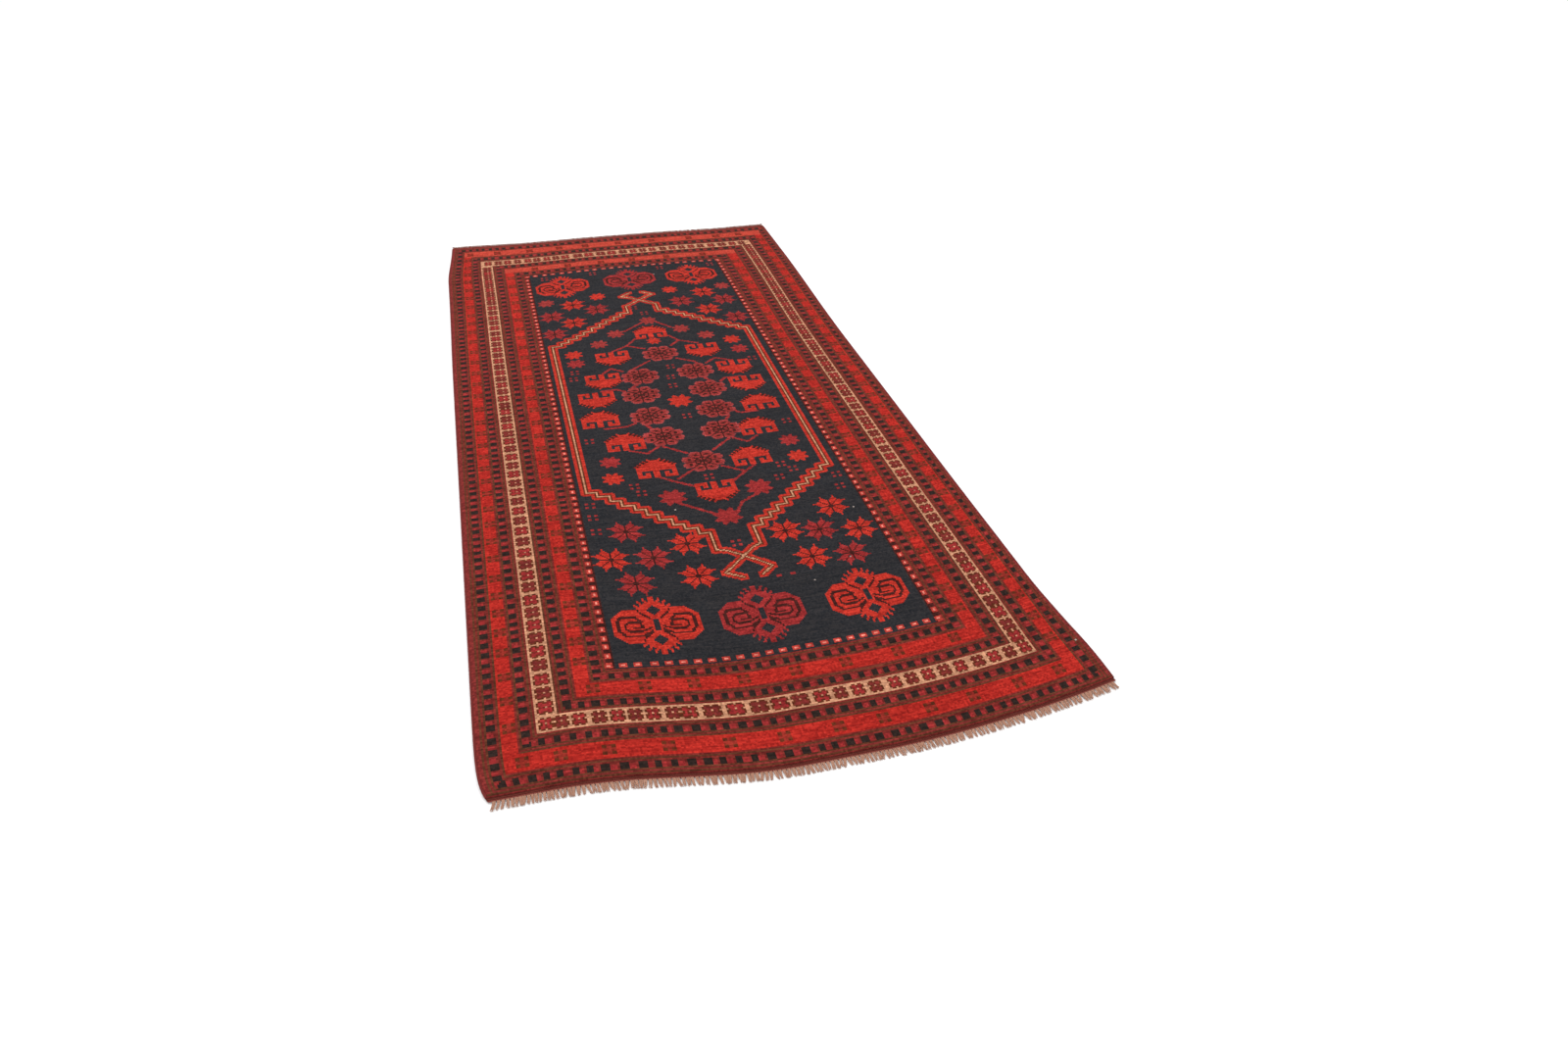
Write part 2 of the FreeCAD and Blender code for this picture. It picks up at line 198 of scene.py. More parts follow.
def along_and_across(k):
    """The band's knots, as arrays over the chart.

    Which knots they are, how far in from the band's outer edge, its width there, the
    place along its run, and whether the knot is at an end of the rug.
    """
    side, end = BANDS[k][1:]
    here = region == k
    from_side = (HALF_U - abs(u_of)) - (side_ends[k] - side)
    from_end = (HALF_V - abs(v_of)) - (end_ends[k] - end)
    at_end = from_end * side < from_side * end
    depth = np.where(at_end, from_end, from_side)
    place = np.where(at_end, u_of + HALF_U, v_of + HALF_V)
    return here, depth, np.where(at_end, end, side), place, at_end


def guard_band(k):
    """Dark and crimson squares between thin maroon and olive stripes."""
    here, depth, width, place, at_end = along_and_across(k)
    first = np.where(width > 9, 3, np.where(at_end & (v_of < 0) & (k == 1), 1, 2))
    chart[here] = YARN["maroon"]
    chart[here & ((first - depth) % 2 == 1)] = YARN["olive"]
    within = depth - first
    chart[here & (within >= 0) & (within < 4)] = YARN["maroon"]
    for mask, side, sizes in ((at_end, v_of, (3, 3, 4)), (~at_end, u_of, (3, 4, 4))):
        for half in (side < 0, side > 0):
            dark = beats(max(ROWS, COLS) + 2, sizes, (3, 4))
            here_dark, next_dark = dark[place], dark[place + 1]
            where = here & mask & half & (within >= 0)
            chart[where & (within < 4) & here_dark] = YARN["black"]
            chart[where & (within < 3) & ~here_dark & ~next_dark] = YARN["crimson"]


def red_band(k, front, back, left, right):
    """Bright red, paler at the back end where the sheen of the pile is painted in, with small brown florets
    at these places along it.
    """
    side, end = BANDS[k][1:]
    chart[region == k] = YARN["red"]
    # painted sheen: the back ends of the red bands are tied in a paler red
    chart[(region == k) & (v_of > HALF_V - end_ends[k])] = YARN["red_painted_sheen"]
    mid_u = round(HALF_U - side_ends[k] + side / 2 + 0.5)
    mid_v = round(HALF_V - end_ends[k] + end / 2 + 0.5)
    for row, places in ((1 - mid_v, front), (mid_v, back)):
        for u in places:
            floret((u, row), "umber", "brick")
    for column, places in ((1 - mid_u, left), (mid_u, right)):
        for v in np.round(places):
            floret((column, v), "umber", "brick")


def flower(u, v, bright, wide, tall):
    """Eight small petals round a cream dot, with a cream notch on each side.

    wide and tall are 7, 8 or 9 knots.
    """
    part, cols, rows = window(np.array([(u, v), (u, v)], float), 4.6)
    right, up = cols - round(u), rows - round(v)
    x, y = (
        {
            7: abs(step) + 1,
            8: abs(step + 0.5) + 0.5,
            9: np.choose(np.minimum(abs(step), 5), (1, 2, 2, 3, 4, 5)),
        }[size]
        for step, size in ((right, wide), (up, tall))
    )
    near, far = np.minimum(x, y), np.maximum(x, y)
    notch = (far == 4) & ((right == 0) | (up == 0))
    part[(far <= 4) & (x + y < 8) & ~notch] = YARN["umber"]
    part[(far == 2) | (near >= 2) & (far <= 3)] = YARN["crimson" if bright else "plum"]
    part[(right == 0) & (up == 0)] = YARN["cream"]


def cream_band(k, front, back, left, right):
    """Cream, with a red flower in each box between cream bars. The ends run through to the corners."""
    side, end = BANDS[k][1:]
    chart[region == k] = YARN["cream"]
    mid_u, mid_v = HALF_U - side_ends[k] + side // 2 + 0.5, HALF_V - end_ends[k] + end // 2 + 0.5
    for column, places in ((0.5 - mid_u, left), (mid_u + 0.5, right)):
        for count, v in enumerate(places):
            flower(column, v, count % 2 == 0, 8, 9)
    for row, places in ((0.5 - mid_v, front), (mid_v + 0.5, back)):
        for count, (u, room) in enumerate(zip(places, np.gradient(places), strict=True)):
            flower(u, row, count % 2 == 0, 9 if room > 10.3 else 8 if room > 9.3 else 7, 8)


def bead_stripe(k, front, back, left, right):
    """Red beads with pink middles, on navy at the ends and dark red at the sides."""
    side, end = BANDS[k][1:]
    at_side = side_band == k
    chart[(region == k) & ~at_side] = YARN["navy"]
    chart[(region == k) & at_side] = YARN["dark"]
    inner_u, inner_v = HALF_U - side_ends[k] + 1, HALF_V - end_ends[k] + 1
    for u, places in ((-inner_u - 3, left), (inner_u + 1, right)):
        for v in np.round(places):
            box(u, u + 2, v - 2, v + 1, "bead")
            box(u + 1, u + 1, v - 1, v, "pink")
    for v, places in ((-inner_v - 2, front), (inner_v, back)):
        for u in np.round(places):
            box(u - 2, u + 1, v, v + 2, "bead")
            box(u - 1, u, v + 1, v + 1, "pink")


def spaced(*stops):
    """Places along a band from (count, place) stops, since the weaver did not space them evenly."""
    counts, places = zip(*stops, strict=True)
    return np.interp(range(counts[-1] + 1), counts, places)


BEADS = (
    np.linspace(-86, 86, 25), np.linspace(-85, 86, 24),
    np.linspace(-252, 253, 75), np.linspace(-253, 252, 74),
)
chart[region == 0] = YARN["edge"]
# an olive line at the inner side of the edge stripe, and at its outer side at the ends
chart[(region == 0) & ((abs(u_of) == HALF_U - 2) | (abs(v_of) == HALF_V))] = YARN["olive"]
for k, (band, _, _) in enumerate(BANDS):
    if band.startswith("guard"):
        guard_band(k)
red_band(
    2,
    (-131, -114, -93, -67, -40, -15, 11, 33, 57, 80, 105, 128),
    (-133, -107, -78, -51, -27, 4, 36, 72, 97, 118),
    spaced((0, -286), (3, -232), (7, -173), (12, -85), (18, 7), (26, 153), (32, 253), (35, 297)),
    spaced((0, -286), (24, 116), (30, 221), (35, 292)),
)
red_band(
    6,
    (-95, -71, -48, -24, 2, 28, 56, 88),
    (-77, -48, -18, 10, 42, 76),
    spaced((0, -247), (4, -188), (8, -122), (12, -55), (16, 16), (20, 80), (26, 187), (30, 254)),
    spaced((0, -249), (15, -1), (30, 247)),
)
cream_band(
    4,
    spaced((0, -119), (1, -112), (8, -54), (14, 9), (26, 119)),
    spaced((0, -117), (8, -48), (13, 5), (25, 115)),
    spaced((0, -277), (11, -165), (23, -33), (35, 86), (47, 207), (55, 276)),
    spaced((0, -279), (7, -213), (13, -154), (21, -71), (29, 7), (41, 119), (53, 227), (59, 279)),
)
bead_stripe(8, *BEADS)

# ---- the field

SPIRALS = [
    (-58, -224, "flame"), (-3, -224, "crimson"), (56, -224, "flame"),
    (-58, 224, "flame"), (0, 224, "crimson"), (55, 224, "flame"),
]
SPLIT_STARS = [
    (-61, -142, "crimson"), (-73, -168, "flame"), (-50, -168, "crimson"),
    (-29, -157, "flame"), (-63, -190, "crimson"), (-29, -187, "flame"),
    (63, -142, "flame"), (72, -168, "flame"), (49, -162, "crimson"),
    (29, -158, "flame"), (60, -188, "crimson"), (37, -185, "flame"),
    (-54, 185, "flame"), (-73, 167, "crimson"), (-36, 170, "crimson"),
    (-57, 150, "flame"), (-74, 133, "crimson"), (57, 185, "flame"),
    (71, 167, "crimson"), (35, 170, "crimson"), (54, 150, "flame"), (73, 131, "crimson"),
]
SMALL_STARS = [
    (-75, 195, "rosette"), (-32, 195, "flame"), (30, 195, "flame"), (76, 195, "rosette"),
    (1, 138, "rosette"), (-28, 120, "rosette"), (24, 118, "rosette"),
    (-43, 105, "rosette"), (41, 103, "rosette"), (-64, 92, "flame"), (59, 91, "flame"),
    (-64, 77, "crimson"), (61, 74, "crimson"), (0, 5, "flame", 9),
    (-59, -64, "crimson"), (60, -63, "crimson"), (-60, -84, "flame"), (60, -83, "flame"),
    (-28, -110, "crimson", 9), (26, -111, "crimson", 9), (0, -136, "crimson", 9),
    (-1, 101, "flame", 6),
]
ROSETTES = [
    (0, 79), (-21, 46), (20, 46), (-25, 19), (23, 18),
    (-24, -11), (22, -11), (-20, -39), (19, -39), (-1, -74),
]
# the last number turns the comb up or down
PALMETTES = [
    (-1, 117, 1), (-36, 79, -1), (33, 78, -1), (-48, 45, -1), (50, 46, -1),
    (-56, 19, -1), (53, 20, -1), (-58, -8, 1), (54, -9, 1), (-46, -41, 1),
    (44, -40, 1), (-32, -76, 1), (30, -75, 1), (0, -109, -1),
]
FLORETS = [
    (-71, 245), (-29, 245), (31, 245), (77, 245), (-6, 165), (1, 153), (-1, -162),
    (4, 57), (1, 41), (0, 28), (1, -16), (-66, 63), (-68, 53), (67, 57),
    (-68, -35), (66, -38), (-77, -112), (-77, -125), (-77, -140), (78, -110),
    (76, -123), (-48, -94), (-45, -102), (47, -89), (53, -96), (42, -103), (-1, -92),
]
STEMS = [
    [(-5, 135), (-21, 122)], [(7, 134), (17, 122)],
    [(-14, 108), (-23, 97), (-35, 90)], [(-23, 97), (-10, 89)],
    [(12, 108), (18, 98), (32, 90)], [(18, 98), (10, 90)],
    [(-10, 69), (-26, 57)], [(10, 69), (22, 61), (24, 58)],
    [(-32, 56), (-40, 63), (-47, 56)], [(30, 56), (39, 63), (51, 56)],
    [(-25, 34), (-32, 29)], [(24, 34), (28, 29)],
    [(-35, 26), (-41, 31), (-52, 30)], [(34, 26), (39, 31), (51, 31)],
    [(-35, -18), (-42, -22), (-57, -21)], [(33, -15), (37, -20), (50, -21)],
    [(-29, -22), (-26, -28)], [(29, -22), (25, -28)],
    [(-25, -50), (-34, -58), (-45, -52)], [(24, -51), (33, -58), (41, -52)],
    [(-23, -51), (-9, -63)], [(22, -51), (8, -63)],
    [(-9, -82), (-21, -91)], [(9, -82), (21, -91)],
    [(-32, -86), (-25, -92), (-12, -101)], [(30, -86), (22, -92), (12, -101)],
    [(-25, -117), (-15, -125), (-7, -132)], [(22, -118), (12, -124), (7, -132)],
]
SPECKS = [(76, -147), (23, 231), (-29, -123), (147, -294), (58, -191), (32, -205)]


def mirrored(points):
    """Points on the right of a motif, then the same on the left, as one outline."""
    return points + [(-u, v) for u, v in reversed(points)]


def spiral_medallion(u, v, yarn):
    """Two octagons with a coiled line in each, and a toothed crown above and below."""
    at = (u, v)
    octagon = [(3.8, 13.2), (8.4, 9), (10.3, 6.3), (10.3, -6.3), (8.4, -9), (3.8, -13.2)]
    coil = [
        [(0, -1.3), (-4.5, -1.3), (-4.5, 0.7), (-2.7, 3), (2.3, 3), (4, 1.5), (4, -2.5),
         (2.5, -4), (-4, -4), (-8.7, -1.6)],
        [(-4.4, 3.4), (-1.5, 7), (5.8, 7), (7.5, 5), (7.5, -3.5), (4.5, -7.4), (-4.5, -7.6),
         (-8.7, -4)],
    ]
    for side in (1, -1):
        middle = (u + 11.9 * side, v + 0.5 * side)
        fill(mirrored(octagon), yarn, middle)
        for path in coil:
            line(path, 0.75, "dark", middle, (side, 1))
    for turn in ((1, 1), (1, -1)):
        fill(mirrored([(1.7, 4.5), (8, 12), (8.6, 13.4), (2.4, 18.6)]), yarn, at, turn)
        for side in (-1, 1):
            line([(2.6 * side, 4.6), (8.4 * side, 11.6)], 0.6, "dark", at, turn)
            for base, tip in (
                ((2, 16.5), (4.4, 21)), ((4.6, 14.5), (6.8, 18.8)), ((7, 13), (9.2, 16.2)),
            ):
                line([(base[0] * side, base[1]), (tip[0] * side, tip[1])], 0.6, yarn, at, turn)
        line([(0, 17), (0, 21.6)], 1.1, yarn, at, turn)
        fill([(0, 7.4), (3.8, 11.5), (0, 15.6), (-3.8, 11.5)], "navy", at, turn)
    box(-1, 1, -4, 4, "navy", at)


def star(at, yarn, reach, waist, notch):
    """Eight points in four pairs.

    waist is how far out neighbours part on a diagonal, and notch how far out on an axis.
    """
    (u, v), corners = at, []
    for quarter in range(4):
        for a, b in ((0, notch), (0.38 * reach, reach), (waist, waist), (reach, 0.38 * reach)):
            for _ in range(quarter):
                a, b = b, -a
            corners.append((a, b))
    fill(corners, yarn, (u, v))


def split_star(u, v, yarn, reach=10.3):
    """An eight-pointed star, its petals parted by dark lines."""
    star((u, v), yarn, reach, 5.7, 4.6)
    for a, b in ((0, 5), (5, 0), (5, 5), (5, -5)):
        line([(-a, -b), (a, b)], 0.4, "dark", (u, v))


def small_star(u, v, yarn, reach=7.2):
    """An eight-pointed star filled in one colour."""
    star((u, v), yarn, reach, 0.52 * reach, 0.6 * reach)


def rosette(u, v):
    """Eight scalloped petals, each with two eyes, parted by dark lines."""
    part, cols, rows = window(np.array([(u - 15, v - 13), (u + 15, v + 13)]), 0)
    a, b = (cols - u) / 14.2, (rows - v) / 12.4
    angle, radius = np.arctan2(b, a), np.hypot(a, b)
    scallop = abs(np.sin(4 * angle))
    edge = 0.74 + 0.26 * scallop ** 0.6
    part[radius < edge] = YARN["rose"]
    part[radius < edge - 0.1] = YARN["rosette"]
    eyes = (scallop > 0.8) & (abs(radius - 0.66) < 0.08) | (scallop > 0.6) & (abs(radius - 0.36) < 0.06)
    part[eyes] = YARN["dark"]
    part[(scallop * radius < 0.16) & (radius < edge)] = YARN["dark"]
    part[((abs(cols - u) < 0.6) | (abs(rows - v) < 0.6)) & (radius < edge + 0.1)] = YARN["dark"]


def palmette(u, v, up):
    """A comb over two hooks and a stalk."""
    at, turn = (u, v), (1, up)
    fill(mirrored([(13.2, 1.5), (11.4, 5.3), (7.2, 8.9), (3.6, 10.8)]), "dark", at, turn)
    fill(mirrored([(12.4, -2.5), (12.4, 1.6), (8, 4.8), (4, 7.8), (1.4, 9.4)]), "flame", at, turn)
    for side in (-1, 1):
        for base, tip in (
            ((2.4, 8), (3.9, 10.8)), ((5, 6.6), (7, 9.4)), ((7.4, 5), (9.4, 7.4)),
            ((9.4, 3.4), (11.4, 5.6)), ((11.2, 1.8), (13.4, 3.4)),
        ):
            line([(base[0] * side, base[1]), (tip[0] * side, tip[1])], 0.55, "flame", at, turn)
        box(*sorted((side * 10, side * 12)), -10, -2, "flame", at, turn)
        box(*sorted((side * 5, side * 12)), -10, -8, "flame", at, turn)
        box(*sorted((side * 5, side * 7)), -10, -5, "flame", at, turn)
    box(-2, 1, -10, -2, "flame", at, turn)


def stairs(start, end, steps):
    """The corners of a run that goes down in steps: rows first, then columns."""
    (ua, va), (ub, vb) = start, end
    corners = [start]
    for step in range(1, steps + 1):
        v = round(va + (vb - va) * step / steps)
        corners += [(corners[-1][0], v), (round(ua + (ub - ua) * step / steps), v)]
    return corners


def medallion_line():
    """The frame round the medallion: cream between dark, between red."""
    runs = [
        [(-78, -92), (-78, 105)], [(76, -92), (76, 105)],
        stairs((-78, -92), (-14, -149), 10), stairs((76, -92), (12, -149), 10),
        stairs((-78, 105), (-12, 156), 10), stairs((76, 105), (13, 156), 10),
        [(-14, -149), (-14, -166)], [(12, -149), (12, -166)],
        [(-12, 156), (-12, 169)], [(13, 156), (13, 169)],
    ]
    hooks = [
        [(-14, -166), (-8, -168), (8, -182), (13, -187), (6, -193)],
        [(12, -166), (7, -168), (-8, -182), (-14, -187), (-5, -193)],
        [(-12, 169), (-7, 173), (9, 186), (14, 189), (6, 195)],
        [(13, 169), (8, 173), (-7, 186), (-13, 189), (-5, 195)],
    ]
    for widths in ((3.7, 2.9, "flame"), (1.6, 1.2, "umber"), (0.6, 0.45, "cream")):
        for path in runs:
            line(path, widths[0], widths[2])
        for path in hooks:
            line(path, widths[1], widths[2])


for place in SPIRALS:
    spiral_medallion(*place)
for place in SPLIT_STARS:
    split_star(*place)
medallion_line()
for place in SMALL_STARS:
    small_star(*place)
for path in STEMS:
    line(path, 0.95, "crimson")
for place in PALMETTES:
    palmette(*place)
for place in ROSETTES:
    rosette(*place)
for place in FLORETS:
    floret(place, "crimson")
for place in ((14, -196), (22, -196)):
    box(-1, 1, -1, 0, "crimson", place)
for place in SPECKS:
    box(0, 0, 0, 0, "pale", place)
# the beads round the field, drawn again where a motif ran over them
bead_stripe(8, *BEADS)

# ---------------------------------------------------------------- how it lies


def ease(t):
    t = np.clip(t, 0, 1)
    return t * t * (3 - 2 * t)


def rest(x, y, z=0.0):
    """Where a point of the flat, square rug lies once the rug is put down.

    long and wide are how far it moves, in knots: up to 15 at the front corners, which
    are drawn in, up to 9 along the left side, and a few elsewhere.
    """
    u, v = x / KNOT, y / KNOT
    front, border = 1 - ease((v + 178) / 195), ease((-235 - v) / 48)
    long = front * (12.6 * ease((-12 - u) / 105) + 12 * (np.maximum(0, u - 27) / 126) ** 2)
    long = long - 1 + border * (0.025 * np.maximum(0, -u) - 0.9 * ease((u + 12) / 60))
    long = long - ease((v - 62) / 150) * (6.6 * ease((3 - u) / 105) + 1.5 * ease((u - 18) / 90))
    long = long - 1.5 * ease((-21 - u) / 60) * ease((v - 47) / 45) * (1 - ease((v - 197) / 60))
    long = long + 1.5 * ease(abs(u) / 60) * ease((v - 242) / 30)
    long = long + ease((v - 272) / 54) * (4.6 + 2 * ease((u - 99) / 51) + 3.5 * ease((-45 - u) / 90))
    wide = 0.3 + ease((u - 87) / 18) * (
        0.5 - 0.5 * ease((v + 253) / 120) + 3 * ease((v - 77) / 190)
    )
    wide = wide - 3 * ease((u - 139) / 12) * ease((v + 300) / 60)
    wide = wide + 1.4 * ease((u - 93) / 57) * ease((-277 - v) / 36)
    wide = wide + ease((-111 - u) / 39) * (
        4.8 * np.exp(-np.maximum(v + 325, 0) / 9) + 4.8 * ease((v - 257) / 72)
    )
    wide = wide + ease((-87 - u) / 12) * (0.6 * ease((v - 77) / 150) - 0.4)
    ripple = 0.0005 * (
        2 + np.sin(3.1 * x + 1.3 * y + 0.6) + np.sin(4.7 * y - 1.9 * x) * np.cos(2.3 * x + 0.4)
    )
    return x + KNOT * wide, y + KNOT * long, z + ripple


# ---------------------------------------------------------------- materials


class Shader:
    """A material's node tree, written as nested calls."""

    def __init__(self, name):
        self.material = bpy.data.materials.new(name)
        self.material.use_nodes = True
        self.tree = self.material.node_tree
        self.tree.nodes.clear()
        out = self.tree.nodes.new("ShaderNodeOutputMaterial")
        self.surface = self.tree.nodes.new("ShaderNodeBsdfPrincipled")
        self.tree.links.new(self.surface.outputs[0], out.inputs["Surface"])

    def put(self, socket, value):
        if isinstance(value, bpy.types.NodeSocket):
            self.tree.links.new(value, socket)
        else:
            socket.default_value = value

    def node(self, kind, values=(), out=0, **settings):
        made = self.tree.nodes.new(f"ShaderNode{kind}")
        for key, value in settings.items():
            setattr(made, key, value)
        for key, value in dict(values).items():
            self.put(made.inputs[key], value)
        return made.outputs[out]

    def attribute(self, name):
        return self.node("Attribute", out="Vector", attribute_name=name)

    def math(self, operation, *values):
        return self.node("Math", enumerate(values), operation=operation)

    def vector(self, operation, *values):
        return self.node("VectorMath", enumerate(values), operation=operation)

    def noise(self, vector, scale, detail=2.0, roughness=0.5):
        values = {"Vector": vector, "Scale": scale, "Detail": detail, "Roughness": roughness}
        return self.node("TexNoise", values)

    def spread(self, value, low, high, to_low=0.0, to_high=1.0):
        values = {0: value, 1: low, 2: high, 3: to_low, 4: to_high}
        return self.node("MapRange", values)

    def mix(self, factor, a, b, blend="MIX"):
        values = {0: factor, 6: a, 7: b}
        return self.node("Mix", values, out=2, data_type="RGBA", blend_type=blend)

    def bump(self, height, strength, distance):
        return self.node("Bump", {"Height": height, "Strength": strength, "Distance": distance})

    def finish(self, colour, normal, roughness, sheen, tint):
        s = self.surface.inputs
        self.put(s["Base Color"], colour)
        self.put(s["Normal"], normal)
        self.put(s["Roughness"], roughness)
        s["Specular IOR Level"].default_value = 0.05
        s["Sheen Weight"].default_value = sheen
        s["Sheen Roughness"].default_value = 0.6
        s["Sheen Tint"].default_value = (*tint, 1)
        return self.material


def rgba(colour, by=1.0):
    return (*(c * by for c in colour), 1.0)


def knot_wool(name, shades, back=False):
    """Cut pile, or the backs of the knots.

    Every knot has its own shade, runs of rows come from different dye lots, and the
    tufts stand up from the ground.
    """
    s = Shader(name)
    weave = s.attribute("weave")
    cell = s.vector("FLOOR", weave)
    own = s.node("TexWhiteNoise", {"Vector": cell}, noise_dimensions="3D")
    lots = s.noise(s.vector("MULTIPLY", weave, (0.012, 0.21, 1.0)), 1.0, 3.0)
    row = s.noise(s.vector("MULTIPLY", weave, (0.07, 0.9, 1.0)), 1.0, 2.0)
    patch = s.noise(weave, 0.09, 3.0)
    fibre = s.noise(s.vector("MULTIPLY", weave, (6.0, 4.0, 1.0)), 1.0, 3.0, 0.7)
    first, second = shades
    streak = s.spread(row, 0.3, 0.7)
    blend = s.math("ADD", s.math("MULTIPLY", own, 0.35), s.math("MULTIPLY", patch, 0.3))
    blend = s.math("ADD", blend, s.math("MULTIPLY", streak, 0.35))
    colour = s.mix(blend, rgba(first), rgba(second))
    lot_light, fibre_light = s.spread(lots, 0.3, 0.7, 0.88, 1.12), s.spread(fibre, 0.25, 0.75, 0.80, 1.20)
    light = s.math("MULTIPLY", lot_light, fibre_light)
    light = s.math("MULTIPLY", s.spread(own, 0, 1, 0.74, 1.26), light)
    light = s.math("MULTIPLY", light, s.spread(streak, 0, 1, 0.78, 1.22))
    colour = s.node("VectorMath", {0: colour, 3: light}, operation="SCALE")
    inside = s.vector("FRACTION", weave)
    away = s.node("VectorMath", {0: inside, 1: (0.5, 0.5, 0.0)}, out="Value", operation="DISTANCE")
    tuft = s.spread(away, 0.2, 0.72, 1.0, 0.0)
    fuzz, depth = (0.3, 0.0008) if back else (0.8, 0.0011)
    height = s.math("ADD", s.math("MULTIPLY", tuft, 0.7), s.math("MULTIPLY", fibre, fuzz))
    height = s.math("ADD", height, s.math("MULTIPLY", own, 0.35))
    normal = s.bump(height, 0.55, depth)
    rough = s.spread(fibre, 0.3, 0.7, 0.82, 0.96)
    return s.finish(colour, normal, rough, 0.0, (0.9, 0.8, 0.75))


def spun_yarn(name, shades, sheen=0.05, twist=9.0):
    """Plied yarn that runs along its piece.

    weave holds metres along, turns round, and the strand's number. twist is the length
    of two turns of the ply, in millimetres.
    """
    s = Shader(name)
    weave = s.attribute("weave")
    parts = s.tree.nodes.new("ShaderNodeSeparateXYZ")
    s.put(parts.inputs[0], weave)
    along, round_, strand = parts.outputs
    own = s.node("TexWhiteNoise", {"W": strand}, noise_dimensions="1D")
    plies = s.math("MULTIPLY", round_, 2.0)
    turns = s.math("ADD", s.math("MULTIPLY", along, 1000 / twist * 2), plies)
    wave = s.math("SINE", s.math("MULTIPLY", turns, math.tau))
    fibre = s.noise(s.vector("MULTIPLY", weave, (900.0, 6.0, 1.0)), 1.0, 3.0, 0.7)
    patch = s.noise(s.vector("MULTIPLY", weave, (22.0, 0.5, 0.3)), 1.0, 2.0)
    blend = s.math("ADD", s.math("MULTIPLY", own, 0.5), s.math("MULTIPLY", patch, 0.5))
    colour = s.mix(blend, rgba(shades[0]), rgba(shades[1]))
    # painted shade: the colour is darker in the grooves between the plies
    light = s.math("MULTIPLY", s.spread(wave, -1, 1, 0.78, 1.08), s.spread(fibre, 0.25, 0.75, 0.82, 1.18))
    colour = s.node("VectorMath", {0: colour, 3: light}, operation="SCALE")
    height = s.math("ADD", s.math("MULTIPLY", wave, 0.5), s.math("MULTIPLY", fibre, 0.6))
    return s.finish(colour, s.bump(height, 0.5, 0.0006), 0.9, sheen, (0.95, 0.9, 0.85))


def flat_cloth(name, shades, stripe, pitch=1.5):
    """Weft-faced plain weave: ribs along the weft, crossed by the warps beneath.

    weave holds millimetres along the weft and across it. pitch is the width of a rib.
    """
    s = Shader(name)
    weave = s.attribute("weave")
    parts = s.tree.nodes.new("ShaderNodeSeparateXYZ")
    s.put(parts.inputs[0], weave)
    along, across, _ = parts.outputs
    rib = s.math("SINE", s.math("MULTIPLY", across, math.tau / pitch))
    warp = s.math("SINE", s.math("MULTIPLY", along, math.tau / 4.0))
    rib_number = s.math("FLOOR", s.math("DIVIDE", across, pitch))
    pick = s.node("TexWhiteNoise", {"W": rib_number}, noise_dimensions="1D")
    fibre = s.noise(s.vector("MULTIPLY", weave, (0.5, 2.2, 1.0)), 1.0, 3.0, 0.7)
    drift = s.noise(s.vector("MULTIPLY", weave, (0.03, 0.3, 1.0)), 1.0, 2.0)
    colour = s.mix(s.spread(drift, 0.35, 0.65), rgba(shades[0]), rgba(shades[1]))
    colour = s.mix(s.spread(pick, 0.62, 0.64), colour, rgba(stripe))
    # painted shade: the colour is darker in the grooves between the ribs
    light = s.math("MULTIPLY", s.spread(rib, -1, 1, 0.72, 1.08), s.spread(fibre, 0.25, 0.75, 0.80, 1.20))
    colour = s.node("VectorMath", {0: colour, 3: light}, operation="SCALE")
    height = s.math("ADD", s.math("MULTIPLY", rib, 0.6), s.math("MULTIPLY", warp, 0.3))
    height = s.math("ADD", height, s.math("MULTIPLY", fibre, 0.5))
    return s.finish(colour, s.bump(height, 0.6, 0.0007), 0.9, 0.0, (0.9, 0.8, 0.75))


pile_wool = {name: knot_wool(f"{name}_pile", shades) for name, shades in YARNS.items()}
back_wool = {
    name: knot_wool(
        f"{name}_knot_back",
        [tuple(0.72 * c + 0.03 for c in shade) for shade in shades],
        back=True,
    )
    for name, shades in YARNS.items()
}
ground_weave = flat_cloth("ground_weave", [(0.38, 0.27, 0.19), (0.46, 0.33, 0.24)], (0.34, 0.22, 0.15), 2.0)
selvedge_yarn = spun_yarn("selvedge_yarn", [(0.13, 0.018, 0.017), (0.20, 0.028, 0.024)])
end_weave = flat_cloth("end_weave", [(0.19, 0.032, 0.026), (0.25, 0.05, 0.04)], (0.10, 0.03, 0.02))
lock_yarn = spun_yarn("lock_yarn", [(0.20, 0.045, 0.035), (0.30, 0.08, 0.06)])
warp_yarn = {
    "front": spun_yarn("warp_yarn", [(0.36, 0.17, 0.11), (0.54, 0.31, 0.22)]),
    # the back fringe is the same warp yarn made darker: painted shade
    "back": spun_yarn("shaded_warp_yarn", [(0.15, 0.05, 0.035), (0.26, 0.10, 0.07)]),
}

# ---------------------------------------------------------------- meshes


def mesh_object(name, vertices, faces, weave, materials, slots=None, smooth=True):
    """A mesh object from arrays, with its weave coordinates as an attribute."""
    mesh = bpy.data.meshes.new(name)
    mesh.from_pydata(vertices.tolist(), [], faces.tolist() if hasattr(faces, "tolist") else faces)
    for material in materials:
        mesh.materials.append(material)
    if slots is not None:
        mesh.polygons.foreach_set("material_index", np.ascontiguousarray(slots, dtype=np.int32))
    mesh.polygons.foreach_set("use_smooth", np.full(len(mesh.polygons), smooth))
    kept = mesh.attributes.new("weave", "FLOAT_VECTOR", "POINT")
    kept.data.foreach_set("vector", np.ascontiguousarray(weave, dtype=np.float32).ravel())
    mesh.update()
    made = bpy.data.objects.new(name, mesh)
    bpy.context.collection.objects.link(made)
    return made


